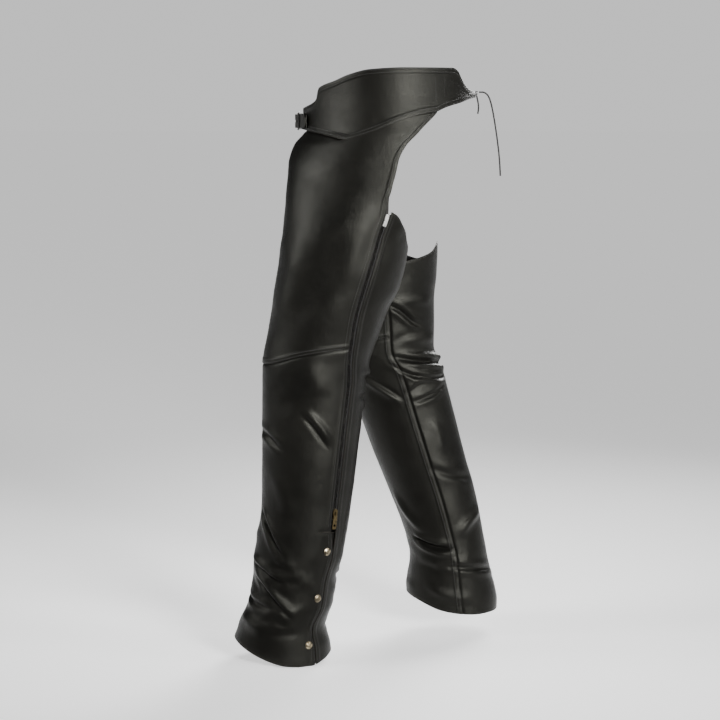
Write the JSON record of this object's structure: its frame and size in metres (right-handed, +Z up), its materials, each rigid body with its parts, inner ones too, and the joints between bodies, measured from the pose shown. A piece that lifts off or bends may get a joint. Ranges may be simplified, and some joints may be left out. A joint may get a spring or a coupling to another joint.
{
  "type": "chainsaw chaps",
  "caption": "Black leather chaps in a walking stride: yoke with front buckle and back lace, outside zip on each leg, snap flaps at the ankles.",
  "frame": {"origin": "centre of the waist opening at belt height", "axes": "+Z up along the wearer, -Y the way the wearer faces, +X the wearer's left"},
  "size_m": [0.398, 0.4867, 1.0569],
  "materials": {
    "leather": "smooth black leather with a soft sheen",
    "belt_leather": "black strap leather, satin",
    "inner_leather": "black suede side",
    "lining": "plain woven lining",
    "zip_tape": "woven tape",
    "zip_coil": "nylon coil",
    "zip_metal": "nickel plated",
    "aged_brass": "antique brass",
    "snap_metal": "worn antique nickel over brass",
    "buckle_steel": "polished nickel",
    "lace": "round cut leather lace"
  },
  "bodies": {
    "root": {"ankle_underlap_left": "inner_leather", "ankle_underlap_right": "inner_leather", "back_eyelets": "snap_metal", "back_panel_left": "leather", "back_panel_right": "leather", "belt_rivets": "snap_metal", "billet_strap": "belt_leather", "buckle_strap": "belt_leather", "lace_crossing": "lace", "lace_end_long": "lace", "lace_end_short": "lace", "lace_knot": "lace", "shin_panel_left": "leather", "shin_panel_right": "leather", "snap_studs_left": "snap_metal", "snap_studs_right": "snap_metal", "strap_keeper": "belt_leather", "thigh_lining_left": "lining", "thigh_lining_right": "lining", "thigh_panel_left": "leather", "thigh_panel_right": "leather", "yoke_left": "leather", "yoke_lining_left": "lining", "yoke_lining_right": "lining", "yoke_right": "leather", "zip_chain_back_left": "zip_coil", "zip_chain_back_right": "zip_coil", "zip_chain_front_left": "zip_coil", "zip_chain_front_right": "zip_coil", "zip_end_box_left": "zip_metal", "zip_end_box_right": "zip_metal", "zip_guard_left": "inner_leather", "zip_guard_right": "inner_leather", "zip_stop_left": "zip_metal", "zip_stop_right": "zip_metal", "zip_tape_back_left": "zip_tape", "zip_tape_back_right": "zip_tape", "zip_tape_front_left": "zip_tape", "zip_tape_front_right": "zip_tape"},
    "ankle_flap_left": {"ankle_flap_left": "leather", "snap_caps_left": "snap_metal"},
    "ankle_flap_right": {"ankle_flap_right": "leather", "snap_caps_right": "snap_metal"},
    "buckle_frame": {"buckle_frame": "buckle_steel"},
    "buckle_prong": {"buckle_prong": "buckle_steel"},
    "zip_pull_left": {"zip_pull_left": "aged_brass"},
    "zip_pull_right": {"zip_pull_right": "aged_brass"},
    "zip_slider_left": {"zip_slider_left": "aged_brass"},
    "zip_slider_right": {"zip_slider_right": "aged_brass"}
  },
  "joints": [
    {"name": "zip_slider_left", "type": "slide", "parent": "root", "child": "zip_slider_left", "axis": [0.0231, 0.1145, 0.9932], "range_m": [0, 0.205]},
    {"name": "zip_pull_left", "type": "hinge", "parent": "zip_slider_left", "child": "zip_pull_left", "pos_m": [0.15644, -0.08968, -0.68331], "axis": [0.6046, -0.7928, 0.0774], "range_deg": [0, 165]},
    {"name": "ankle_flap_left", "type": "hinge", "parent": "root", "child": "ankle_flap_left", "pos_m": [0.16744, -0.12208, -0.716], "axis": [0.0203, -0.1381, -0.9902], "range_deg": [0, 110]},
    {"name": "zip_slider_right", "type": "slide", "parent": "root", "child": "zip_slider_right", "axis": [-0.0224, -0.2676, 0.9633], "range_m": [0, 0.205]},
    {"name": "zip_pull_right", "type": "hinge", "parent": "zip_slider_right", "child": "zip_pull_right", "pos_m": [-0.15643, 0.14041, -0.68311], "axis": [0.6053, 0.7632, 0.2261], "range_deg": [0, 165]},
    {"name": "ankle_flap_right", "type": "hinge", "parent": "root", "child": "ankle_flap_right", "pos_m": [-0.16744, 0.12141, -0.716], "axis": [0.0202, -0.1676, 0.9857], "range_deg": [0, 110]},
    {"name": "buckle_frame", "type": "hinge", "parent": "root", "child": "buckle_frame", "pos_m": [0.01224, -0.15745, 0], "axis": [0, 0, 1], "range_deg": [0, 40]},
    {"name": "buckle_prong", "type": "hinge", "parent": "buckle_frame", "child": "buckle_prong", "pos_m": [0.01224, -0.15745, 0], "axis": [0, 0, 1], "range_deg": [0, 50]}
  ]
}
